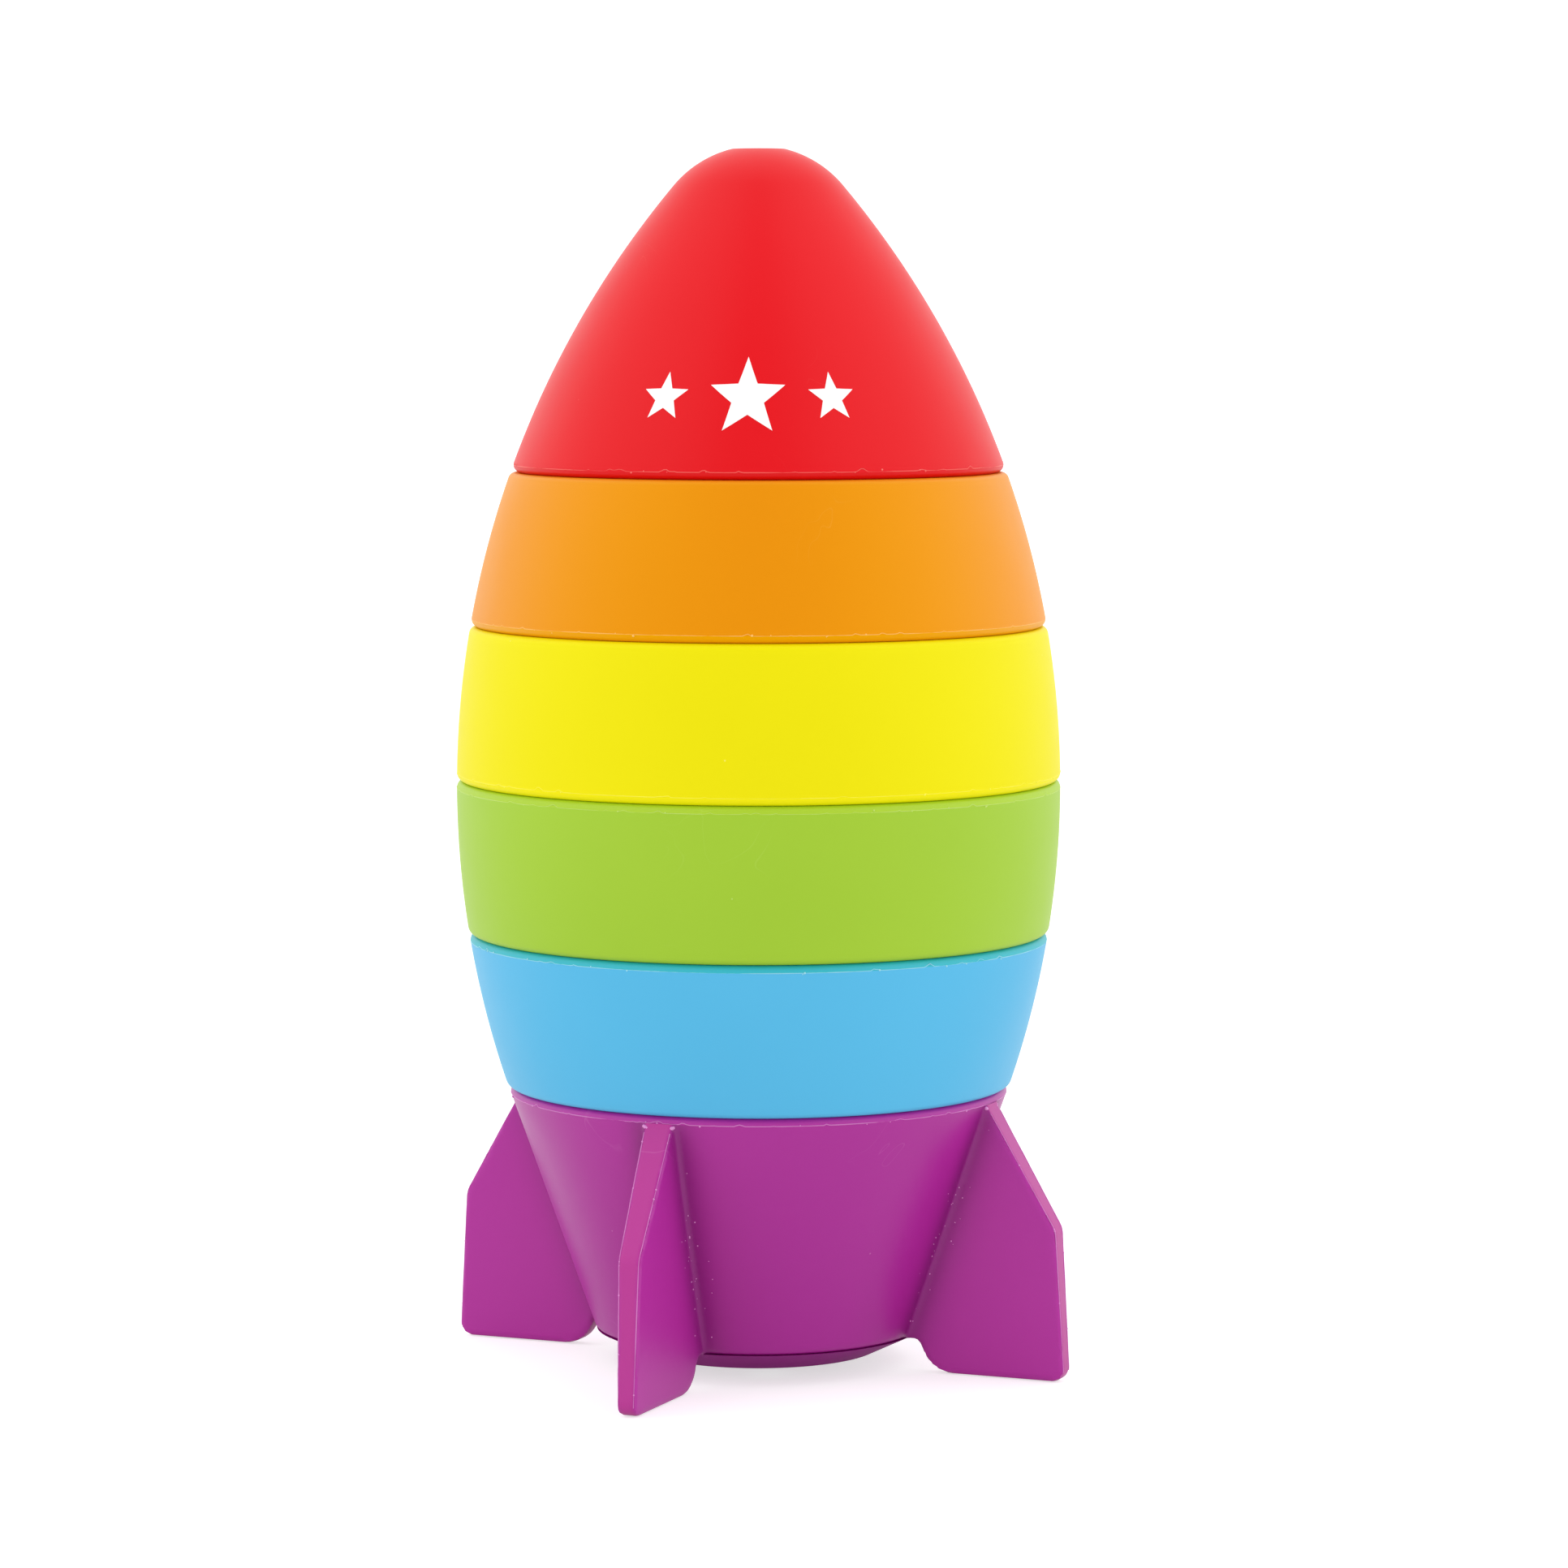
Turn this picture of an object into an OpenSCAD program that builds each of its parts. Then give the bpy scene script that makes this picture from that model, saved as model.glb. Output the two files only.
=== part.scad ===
// Rocket stacking toy: a finned base with a post, four rings and a nose cone.
// Z is up, the origin is on the axis at the height of the fins' feet, and the
// fins point along +X, +Y, -X and -Y. All sizes are in millimetres.

/* [Stack] */
// Height of one ring
ring_h = 25.4; // [20:0.2:31]
// Height of the base's rim above the floor
rim_z = 46.4; // [38:0.2:56]
// Radius at the widest place of the side
belly_r = 50; // [41:0.5:60]
// How far the widest place lies below the stack's middle seam
belly_drop = 1.2; // [0:0.1:6]
// Radius of the long arc that the whole side follows
side_r = 154; // [140:1:185]
// Radius of the rounding along every piece's edges
edge_r = 1.25; // [0.8:0.05:1.8]
// Wall thickness of the hollow pieces
wall = 2.2; // [1.6:0.1:3]

/* [Nose] */
// Radius of the round tip
tip_r = 18.2; // [14:0.2:22]
// Radius of the small flat on the tip
tip_flat_r = 4.3; // [2:0.1:6]

/* [Post] */
// Outer radius of the post
post_r = 11; // [9:0.2:14]
// Radius of the rounding at the post's top
post_round_r = 6; // [2:0.5:7]
// Distance from the post's top to the nose's tip
post_below_tip = 25; // [22:0.5:40]
// Radial clearance between the post and every bore that slides over it
slide_gap = 0.6; // [0.3:0.1:1.5]

/* [Base] */
// Radius of the cone's lower edge
cone_foot_r = 27.1; // [24:0.1:32]
// Height of the cone's lower edge above the floor
cone_foot_z = 5.3; // [4.6:0.1:8]
// Radius of the cap's lower face
cap_foot_r = 20; // [18:0.1:23]
// Height of the cap's lower face above the floor
cap_foot_z = 1.9; // [1:0.1:2.2]
// Thickness of the base's floor
floor_t = 2.4; // [1.6:0.1:3.4]

/* [Fins] */
// Number of fins
fin_count = 4; // [3:1:6]
// Radius of the knee, where the fin's outer edge bends
knee_r = 53.2; // [48:0.2:64]
// Height of the knee
knee_z = 25; // [20:0.5:30]
// Radius of the rounding at the knee
knee_round_r = 5; // [1:0.5:7]
// Radius of the fin's outer lower corner
toe_r = 54.8; // [48:0.2:66]
// Radius of the rounding at the outer lower corner
toe_round_r = 1.8; // [0.5:0.1:2.5]
// Radius of the fin's inner lower corner
heel_r = 31.6; // [30:0.2:38]
// Radius where the rise from the heel meets the cone's floor
heel_top_r = 29.2; // [28:0.1:32]
// Radius of the rounding at the inner lower corner
heel_round_r = 5.5; // [1:0.5:6]
// Thickness of the fin at the rim
fin_top_t = 5.2; // [3.6:0.1:7]
// Thickness of the fin at the knee
fin_knee_t = 4; // [3:0.1:6]
// Thickness of the fin at the floor
fin_foot_t = 3.2; // [2.6:0.1:5]

/* [Screws] */
// Number of screws that hold the post and the cap
screw_count = 3; // [3:1:4]
// Radius of a screw's shank
screw_r = 1.5; // [1.2:0.1:2]
// Radius of a screw's head
screw_head_r = 3; // [2.4:0.1:3.6]
// Height of a screw's head
screw_head_h = 1.8; // [1.4:0.1:2]
// How far a screw reaches into its boss
screw_grip = 8; // [5:0.5:12]
// Wall of a boss around its screw
boss_wall = 2; // [1.6:0.1:3]

/* [Hidden] */
$fn = 96;

// Clearance between two pieces of one ring, base or nose that locate each other
fit_gap = 0.2;
// Clearance around a screw's shank, and around its head
shank_gap = 0.1;
head_gap = 0.3;
// How deep a screw's head lies inside the cap's lower face
head_sink = 0.2;
// How far a pilot hole runs on past its screw's end
pilot_extra = 1.5;
// How far a boss sinks into the post's wall
boss_sink = 0.8;
// Width of a screw's crossed slots, and their share of the head's width and height
slot_w = 0.8;
slot_share = 0.6;
// Height of the locating lip on a plate
lip_h = 1.6;
// Chamfer at the mouths of the bores
mouth_c = 0.8;
// Steps in a rounded edge, and in a long arc
edge_steps = 6;
side_steps = 12;
// How far a cutting shape reaches past the face that it opens
cut = 1;

// Colours of the plastics and of the screws
red = "#EE252F";
orange = "#F19322";
yellow = "#F2EA1E";
green = "#A8CF38";
blue = "#58BAE6";
purple = "#A8388F";
steel = "silver";

// Heights of the seams between the pieces
blue_z = rim_z;
green_z = blue_z + ring_h;
yellow_z = green_z + ring_h;
orange_z = yellow_z + ring_h;
nose_z = orange_z + ring_h;

// Centre of the side's arc, and of the round tip that it runs into
belly_z = yellow_z - belly_drop;
side_x = belly_r - side_r;
tip_z = belly_z + sqrt(pow(side_r - tip_r, 2) - pow(side_x, 2));
tip_a = atan2(tip_z - belly_z, -side_x);
tip_flat_a = acos(tip_flat_r / tip_r);
top_z = tip_z + tip_r * sin(tip_flat_a);

// Bores, hub tubes and the post
bore_r = post_r + slide_gap;
hub_r = bore_r + wall;
floor_z = cone_foot_z + floor_t;
post_z = top_z - post_below_tip;
boss_r = screw_r + shank_gap + boss_wall;
boss_h = screw_grip + pilot_extra + wall;
screw_ring_r = post_r + boss_r - boss_sink;
flange_r = screw_ring_r + boss_r;
flange_t = floor_t;
head_seat_z = cap_foot_z + head_sink + screw_head_h;

// Parting planes of the nose and of the base's rim, and the rim's radii there
nose_line_z = nose_z + edge_r;
rim_line_z = rim_z - edge_r;
rim_r = edge_c(rim_line_z)[0] + edge_r;
rim_in_r = inner_r(rim_line_z);

// ---------- the side and its rounded edges ----------

function polar(centre, r, a) = centre + r * [cos(a), sin(a)];

function arc(centre, r, a0, a1, steps) =
    [for (i = [0:steps]) polar(centre, r, a0 + (a1 - a0) * i / steps)];

// Centre of the edge rounding whose widest point is at height z
function edge_c(z) =
    [side_x + sqrt(pow(side_r - edge_r, 2) - pow(z - belly_z, 2)), z];

// Angle at which that rounding runs into the side's arc
function edge_a(z) = atan2(z - belly_z, edge_c(z)[0] - side_x);

// Side's arc between two angles, drawn in by a wall thickness
function side_arc(a0, a1, inset = 0) =
    arc([side_x, belly_z], side_r - inset, a0, a1, side_steps);

// Angle of the inner side at height z, and its radius there
function inner_a(z) = asin((z - belly_z) / (side_r - wall));
function inner_r(z) = side_x + (side_r - wall) * cos(inner_a(z));

// ---------- hollow rings ----------

// Ring's body from height z0 to z1. It is open at its wide end, where a plate closes it
module ring_shell(z0, z1, wide_up) {
    zb = z0 + edge_r;
    zt = z1 - edge_r;
    cut_z = wide_up ? zt : zb;
    face_z = wide_up ? z0 : z1;
    cave_z = wide_up ? z0 + wall : z1 - wall;
    foot = wide_up ? arc(edge_c(zb), edge_r, -90, edge_a(zb), edge_steps)
                   : arc(edge_c(zb), edge_r, 0, edge_a(zb), edge_steps);
    head = wide_up ? arc(edge_c(zt), edge_r, edge_a(zt), 0, edge_steps)
                   : arc(edge_c(zt), edge_r, edge_a(zt), 90, edge_steps);
    mouth = wide_up ? [[bore_r, cut_z], [bore_r, face_z + mouth_c], [bore_r + mouth_c, face_z]]
                    : [[bore_r + mouth_c, face_z], [bore_r, face_z - mouth_c], [bore_r, cut_z]];
    rotate_extrude() difference() {
        polygon(concat(foot, side_arc(edge_a(zb), edge_a(zt)), head, mouth));
        polygon(concat(
            side_arc(inner_a(min(cut_z, cave_z)), inner_a(max(cut_z, cave_z)), wall),
            [[hub_r, max(cut_z, cave_z)], [hub_r, min(cut_z, cave_z)]]));
    }
}

// Plate that closes a ring's wide end at height z, with a lip that locates it
// inside the wall. out is 1 for a plate on top and -1 for a plate underneath
module ring_plate(z, out, hole_r, lip_hole_r) {
    line_z = z - out * edge_r;
    lip_z = line_z - out * lip_h;
    lip_r = min(inner_r(lip_z), inner_r(line_z)) - fit_gap;
    rotate_extrude() polygon(concat(
        arc(edge_c(line_z), edge_r, 0, out * 90, edge_steps),
        [[hole_r + mouth_c, z], [hole_r, z - out * mouth_c], [hole_r, line_z],
         [lip_hole_r, line_z], [lip_hole_r, lip_z], [lip_r, lip_z], [lip_r, line_z]]));
}

// The four rings: the lower two are open at the top and the upper two underneath
module blue_ring_shell() { color(blue) ring_shell(blue_z, green_z, true); }
module blue_ring_lid() { color(blue) ring_plate(green_z, 1, bore_r, hub_r + fit_gap); }
module green_ring_shell() { color(green) ring_shell(green_z, yellow_z, true); }
module green_ring_lid() { color(green) ring_plate(yellow_z, 1, bore_r, hub_r + fit_gap); }
module yellow_ring_shell() { color(yellow) ring_shell(yellow_z, orange_z, false); }
module yellow_ring_floor() { color(yellow) ring_plate(yellow_z, -1, bore_r, hub_r + fit_gap); }
module orange_ring_shell() { color(orange) ring_shell(orange_z, nose_z, false); }
module orange_ring_floor() { color(orange) ring_plate(orange_z, -1, bore_r, hub_r + fit_gap); }

// ---------- nose cone ----------

// Hollow cone with a rounded tip and a small flat on it, open underneath
module nose_shell() {
    tip = [0, tip_z];
    color(red) rotate_extrude() difference() {
        polygon(concat(
            arc(edge_c(nose_line_z), edge_r, 0, edge_a(nose_line_z), edge_steps),
            side_arc(edge_a(nose_line_z), tip_a),
            arc(tip, tip_r, tip_a, tip_flat_a, side_steps),
            [[0, top_z], [0, nose_line_z]]));
        polygon(concat(
            side_arc(inner_a(nose_line_z), tip_a, wall),
            arc(tip, tip_r - wall, tip_a, 90, side_steps),
            [[0, nose_line_z]]));
    }
}

// Plate under the nose, with the socket that drops over the post's top
module nose_floor() {
    socket_z = post_z + slide_gap;
    color(red) {
        ring_plate(nose_z, -1, bore_r, hub_r);
        rotate_extrude() polygon([
            [bore_r, nose_line_z], [hub_r, nose_line_z], [hub_r, socket_z + wall],
            [0, socket_z + wall], [0, socket_z], [bore_r, socket_z]]);
    }
}

// ---------- base ----------

// Point of the corner p, rounded with radius r between its neighbours a and b
function corner(a, p, b, r) =
    let (u = (a - p) / norm(a - p), v = (b - p) / norm(b - p),
         half = acos(u * v) / 2,
         centre = p + (u + v) / norm(u + v) * r / sin(half),
         from = p + u * r / tan(half) - centre,
         to = p + v * r / tan(half) - centre,
         a0 = atan2(from[1], from[0]),
         turn = atan2(to[1], to[0]) - a0,
         sweep = turn > 180 ? turn - 360 : turn < -180 ? turn + 360 : turn)
    arc(centre, r, a0, a0 + sweep, edge_steps);

// Fin on the +X side: its outline from the side, cut to its changing thickness
module fin() {
    crest = [rim_r, rim_line_z];
    knee = [knee_r, knee_z];
    toe = [toe_r, 0];
    heel = [heel_r, 0];
    heel_top = [heel_top_r, cone_foot_z];
    root_r = cone_foot_r - wall;
    intersection() {
        rotate([90, 0, 0]) linear_extrude(height = 2 * fin_top_t, center = true)
            polygon(concat(
                [[root_r, rim_line_z], crest],
                corner(crest, knee, toe, knee_round_r),
                corner(knee, toe, heel, toe_round_r),
                corner(toe, heel, heel_top, heel_round_r),
                [heel_top, [root_r, cone_foot_z]]));
        rotate([90, 0, 90]) linear_extrude(height = max(knee_r, toe_r) + cut) polygon([
            [fin_foot_t / 2, 0], [fin_knee_t / 2, knee_z], [fin_top_t / 2, rim_line_z],
            [-fin_top_t / 2, rim_line_z], [-fin_knee_t / 2, knee_z], [-fin_foot_t / 2, 0]]);
    }
}

// Hollow cone with its fins, open at the rim, with holes for the screws in its floor
module fin_base() {
    color(purple) difference() {
        union() {
            rotate_extrude() polygon([[0, cone_foot_z], [cone_foot_r, cone_foot_z],
                                      [rim_r, rim_line_z], [0, rim_line_z]]);
            for (i = [0:fin_count - 1]) rotate([0, 0, 360 * i / fin_count]) fin();
        }
        rotate_extrude() polygon([[0, floor_z], [cone_foot_r - wall, floor_z],
                                  [rim_in_r, rim_line_z - lip_h], [rim_in_r, rim_line_z + cut],
                                  [0, rim_line_z + cut]]);
        screw_places() translate([0, 0, cone_foot_z - cut])
            cylinder(h = floor_t + 2 * cut, r = screw_r + shank_gap);
    }
}

// Rim plate on top of the cone, with a hole for the post
module base_deck() {
    color(purple) ring_plate(rim_z, 1, post_r + fit_gap, hub_r);
}

// Cap under the base, which covers the floor and takes the screws' heads
module base_cap() {
    color(purple) difference() {
        translate([0, 0, cap_foot_z])
            cylinder(h = cone_foot_z - cap_foot_z, r1 = cap_foot_r, r2 = cone_foot_r);
        screw_places() translate([0, 0, cap_foot_z - cut]) {
            cylinder(h = cone_foot_z - cap_foot_z + 2 * cut, r = screw_r + shank_gap);
            cylinder(h = head_seat_z - cap_foot_z + cut, r = screw_head_r + head_gap);
        }
    }
}

// Hollow post with a rounded top, a flange on the base's floor and screw bosses
module post() {
    color(purple) difference() {
        union() {
            rotate_extrude() polygon(concat(
                [[0, floor_z], [flange_r, floor_z], [flange_r, floor_z + flange_t],
                 [post_r, floor_z + flange_t]],
                arc([post_r - post_round_r, post_z - post_round_r], post_round_r, 0, 90,
                    edge_steps),
                [[0, post_z]]));
            screw_places() translate([0, 0, floor_z]) cylinder(h = boss_h, r = boss_r);
        }
        translate([0, 0, floor_z - cut])
            cylinder(h = post_z - post_round_r - floor_z + cut, r = post_r - wall);
        screw_places() translate([0, 0, floor_z - cut])
            cylinder(h = screw_grip + pilot_extra + cut, r = screw_r + shank_gap);
    }
}

module screw_places() {
    for (i = [0:screw_count - 1])
        rotate([0, 0, 360 * (i + 0.5) / screw_count]) translate([screw_ring_r, 0, 0]) children();
}

// Screws that clamp the cap and the floor to the post, with crossed slots
module base_screws() {
    head_z = head_seat_z - screw_head_h;
    slot = [screw_head_r * 2 * slot_share, slot_w, screw_head_h * 2 * slot_share];
    color(steel) screw_places() translate([0, 0, head_z]) difference() {
        union() {
            cylinder(h = screw_head_h, r = screw_head_r);
            cylinder(h = floor_z + screw_grip - head_z, r = screw_r);
        }
        for (a = [0, 90]) rotate([0, 0, a]) cube(slot, center = true);
    }
}

fin_base();
base_cap();
base_deck();
post();
base_screws();
blue_ring_shell();
blue_ring_lid();
green_ring_shell();
green_ring_lid();
yellow_ring_shell();
yellow_ring_floor();
orange_ring_shell();
orange_ring_floor();
nose_shell();
nose_floor();
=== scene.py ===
import math
import random

import bmesh
import bpy
import numpy as np
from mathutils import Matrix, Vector


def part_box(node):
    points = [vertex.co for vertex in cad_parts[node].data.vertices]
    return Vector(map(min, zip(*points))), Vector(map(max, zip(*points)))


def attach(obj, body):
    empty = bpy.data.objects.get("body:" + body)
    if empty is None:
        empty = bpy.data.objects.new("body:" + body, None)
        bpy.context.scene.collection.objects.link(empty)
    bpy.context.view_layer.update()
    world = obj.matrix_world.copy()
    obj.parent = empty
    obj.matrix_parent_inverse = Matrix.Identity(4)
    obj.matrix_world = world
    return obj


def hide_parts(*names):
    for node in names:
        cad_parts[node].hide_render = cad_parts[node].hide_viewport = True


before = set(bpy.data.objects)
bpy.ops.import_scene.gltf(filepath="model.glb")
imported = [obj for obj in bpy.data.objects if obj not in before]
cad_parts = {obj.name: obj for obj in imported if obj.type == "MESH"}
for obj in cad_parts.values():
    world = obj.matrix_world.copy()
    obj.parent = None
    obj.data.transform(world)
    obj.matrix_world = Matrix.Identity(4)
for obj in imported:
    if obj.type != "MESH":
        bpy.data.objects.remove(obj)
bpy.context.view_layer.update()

# ---------------------------------- sizes
# Lengths are in millimetres until a mesh is made, and metres from there on.

MM = 0.001
BELLY_R = 50.0          # radius at the widest place of the stack
SIDE_R = 154.0          # radius of the long arc that the whole side follows
BELLY_DROP = 1.2        # how far the widest place lies below the middle seam
EDGE_R = 1.25           # rounding along the edges of the rings, nose and rim
WALL = 2.2              # wall of the hollow pieces
TIP_R = 18.2            # round tip of the nose
TIP_SOFT = 1.2          # rounding where the flat meets the tip
POST_R = 11.0
POST_ROUND_R = 6.0      # rounding at the top of the post
SLIDE_GAP = 0.6         # between the post and the bores
FIT_GAP = 0.2           # between pieces that locate each other
LIP_H = 1.6             # locating lip on a plate
MOUTH_R = 1.0           # rounding at the mouth of a bore
CONE_FOOT_R = 27.1      # lower edge of the base's cone
CONE_EDGE_R = 0.9       # rounding along that edge
FLOOR_T = 2.4           # floor of the base
ROUND_STEPS = 192       # faces round a turned piece

SIDE_X = BELLY_R - SIDE_R
BORE_R = POST_R + SLIDE_GAP
HUB_R = BORE_R + WALL


def low_z(node):
    """Height of a CAD node's lowest point, in millimetres."""
    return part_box(node)[0].z / MM


def high_z(node):
    """Height of a CAD node's highest point, in millimetres."""
    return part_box(node)[1].z / MM


BELLY_Z = low_z("yellow_ring_floor") - BELLY_DROP
RIM_Z = high_z("base_deck")
CONE_FOOT_Z = high_z("base_cap")
POST_Z = high_z("post")
NOSE_Z = low_z("nose_floor")
TIP_Z = BELLY_Z + math.sqrt((SIDE_R - TIP_R) ** 2 - SIDE_X ** 2)


# ---------------------------------- outlines

def arc(centre, r, a0, a1, steps=8):
    """Points (radius, height) on an arc between two angles in degrees."""
    turn = [math.radians(a0 + (a1 - a0) * i / steps) for i in range(steps + 1)]
    return [(centre[0] + r * math.cos(a), centre[1] + r * math.sin(a)) for a in turn]


def edge_centre(z):
    """Centre of the edge rounding whose widest point is at height z."""
    return SIDE_X + math.sqrt((SIDE_R - EDGE_R) ** 2 - (z - BELLY_Z) ** 2), z


def edge_angle(z):
    """Angle at which that rounding runs into the side's arc."""
    return math.degrees(math.atan2(z - BELLY_Z, edge_centre(z)[0] - SIDE_X))


def side_arc(a0, a1, inset=0.0, steps=24):
    """The side's long arc between two angles, drawn in by a wall thickness."""
    return arc((SIDE_X, BELLY_Z), SIDE_R - inset, a0, a1, steps)


def inner_angle(z):
    """Angle at which the inner face of the side stands at height z."""
    return math.degrees(math.asin((z - BELLY_Z) / (SIDE_R - WALL)))


def inner_radius(z):
    return SIDE_X + (SIDE_R - WALL) * math.cos(math.radians(inner_angle(z)))


def ring_shell_outline(z0, z1, wide_up):
    """Hollow ring from height z0 to z1, open at its wide end."""
    zb, zt = z0 + EDGE_R, z1 - EDGE_R
    side = side_arc(edge_angle(zb), edge_angle(zt))
    if wide_up:
        outer = arc(edge_centre(zb), EDGE_R, -90, edge_angle(zb))[:-1] + side
        outer += arc(edge_centre(zt), EDGE_R, edge_angle(zt), 0, 3)[1:]
        cave = [(HUB_R, zt), (HUB_R, z0 + WALL)]
        inner = side_arc(inner_angle(z0 + WALL), inner_angle(zt), WALL)[::-1]
        mouth = arc((BORE_R + MOUTH_R, z0 + MOUTH_R), MOUTH_R, 180, 270, 5)
        return outer + inner + cave[::-1] + [(BORE_R, zt)] + mouth
    outer = arc(edge_centre(zb), EDGE_R, 0, edge_angle(zb), 3)[:-1] + side
    outer += arc(edge_centre(zt), EDGE_R, edge_angle(zt), 90)[1:]
    mouth = arc((BORE_R + MOUTH_R, z1 - MOUTH_R), MOUTH_R, 90, 180, 5)
    inner = side_arc(inner_angle(z1 - WALL), inner_angle(zb), WALL)
    return outer + mouth + [(BORE_R, zb), (HUB_R, zb), (HUB_R, z1 - WALL)] + inner


def plate_outline(z, out, hole_r, lip_hole_r):
    """Plate that closes a wide end at height z. out is 1 on top and -1 underneath."""
    line = z - out * EDGE_R
    lip = line - out * LIP_H
    lip_r = min(inner_radius(line), inner_radius(lip)) - FIT_GAP
    mouth_z = z - out * MOUTH_R
    return (
        arc(edge_centre(line), EDGE_R, 0, out * 90)
        + arc((hole_r + MOUTH_R, mouth_z), MOUTH_R, out * 90, out * 180, 5)
        + [(hole_r, line), (lip_hole_r, line), (lip_hole_r, lip), (lip_r, lip), (lip_r, line)]
    )


def nose_shell_outline():
    line = NOSE_Z + EDGE_R
    tip = (0.0, TIP_Z)
    meet = math.degrees(math.atan2(TIP_Z - BELLY_Z, -SIDE_X))
    # the flat runs into the round tip through a small arc of its own
    flat_z = high_z("nose_shell")
    soft_z = flat_z - TIP_SOFT
    soft_x = math.sqrt((TIP_R - TIP_SOFT) ** 2 - (soft_z - TIP_Z) ** 2)
    soft_a = math.degrees(math.atan2(soft_z - TIP_Z, soft_x))
    outer = arc(edge_centre(line), EDGE_R, 0, edge_angle(line), 3)[:-1]
    outer += side_arc(edge_angle(line), meet, steps=40)
    outer += arc(tip, TIP_R, meet, soft_a, 20)[1:-1]
    outer += arc((soft_x, soft_z), TIP_SOFT, soft_a, 90, 6)
    inner = arc(tip, TIP_R - WALL, 90, meet, 12)
    inner += side_arc(meet, inner_angle(line), WALL)[1:]
    return outer + [(0.0, flat_z)] + inner


def nose_floor_outline():
    """Plate under the nose, with the socket that drops over the post."""
    top = POST_Z + SLIDE_GAP
    plate = plate_outline(NOSE_Z, -1, BORE_R, HUB_R)
    at = plate.index((BORE_R, NOSE_Z + EDGE_R))
    socket = [(BORE_R, top), (0.0, top), (0.0, top + WALL), (HUB_R, top + WALL)]
    return plate[:at] + socket + plate[at + 2:]


def post_outline():
    """Post above its flange, with a rounded top."""
    floor = CONE_FOOT_Z + FLOOR_T
    flange_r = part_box("post")[1].x / MM
    top = arc((POST_R - POST_ROUND_R, POST_Z - POST_ROUND_R), POST_ROUND_R, 0, 90, 12)
    hollow = [(0.0, POST_Z - POST_ROUND_R), (POST_R - WALL, POST_Z - POST_ROUND_R)]
    return ([(POST_R - WALL, floor), (flange_r, floor), (flange_r, floor + FLOOR_T),
             (POST_R, floor + FLOOR_T)] + top + [(0.0, POST_Z)] + hollow)


# ---------------------------------- node trees

def feed(tree, socket, value):
    """Sets an input to a plain value, or links it to another node's output."""
    if isinstance(value, bpy.types.NodeSocket):
        tree.links.new(value, socket)
    else:
        socket.default_value = value


def add_node(tree, kind, **sockets):
    """A node with its named inputs set or linked. Spaces in a name are underscores."""
    node = tree.nodes.new(kind)
    for name, value in sockets.items():
        label = name.replace("_", " ")
        feed(tree, next(s for s in node.inputs if s.enabled and s.name == label), value)
    return node


def maths(tree, operation, *values, kind="ShaderNodeMath"):
    """One maths step, whose inputs are numbers, vectors or sockets."""
    node = tree.nodes.new(kind)
    node.operation = operation
    for socket, value in zip(node.inputs, values):
        feed(tree, socket, value)
    return node.outputs[0]


def new_tree(name, kind, inputs, outputs):
    """An empty node tree with named sockets, and its input and output nodes."""
    tree = bpy.data.node_groups.new(name, kind)
    for side, sockets in (("INPUT", inputs), ("OUTPUT", outputs)):
        for label, socket_kind, value in sockets:
            socket = tree.interface.new_socket(label, in_out=side, socket_type=socket_kind)
            if value is not None:
                socket.default_value = value
    return tree, tree.nodes.new("NodeGroupInput"), tree.nodes.new("NodeGroupOutput")


def run_tree(tree, points, values):
    """The plain mesh that a Geometry Nodes tree makes from a mesh of points."""
    carrier = bpy.data.objects.new("points", points)
    bpy.context.scene.collection.objects.link(carrier)
    modifier = carrier.modifiers.new("nodes", "NODES")
    modifier.node_group = tree
    for item in tree.interface.items_tree:
        if item.in_out == "INPUT" and item.name in values:
            modifier[item.identifier] = values[item.name]
    depsgraph = bpy.context.evaluated_depsgraph_get()
    mesh = bpy.data.meshes.new_from_object(carrier.evaluated_get(depsgraph))
    bpy.data.objects.remove(carrier)
    bpy.data.meshes.remove(points)
    return mesh


def line_mesh(points, closed):
    """Points in metres joined one after the other by edges."""
    count = len(points)
    edges = [(i, (i + 1) % count) for i in range(count if closed else count - 1)]
    mesh = bpy.data.meshes.new("line")
    mesh.from_pydata(points, edges, [])
    return mesh


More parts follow.
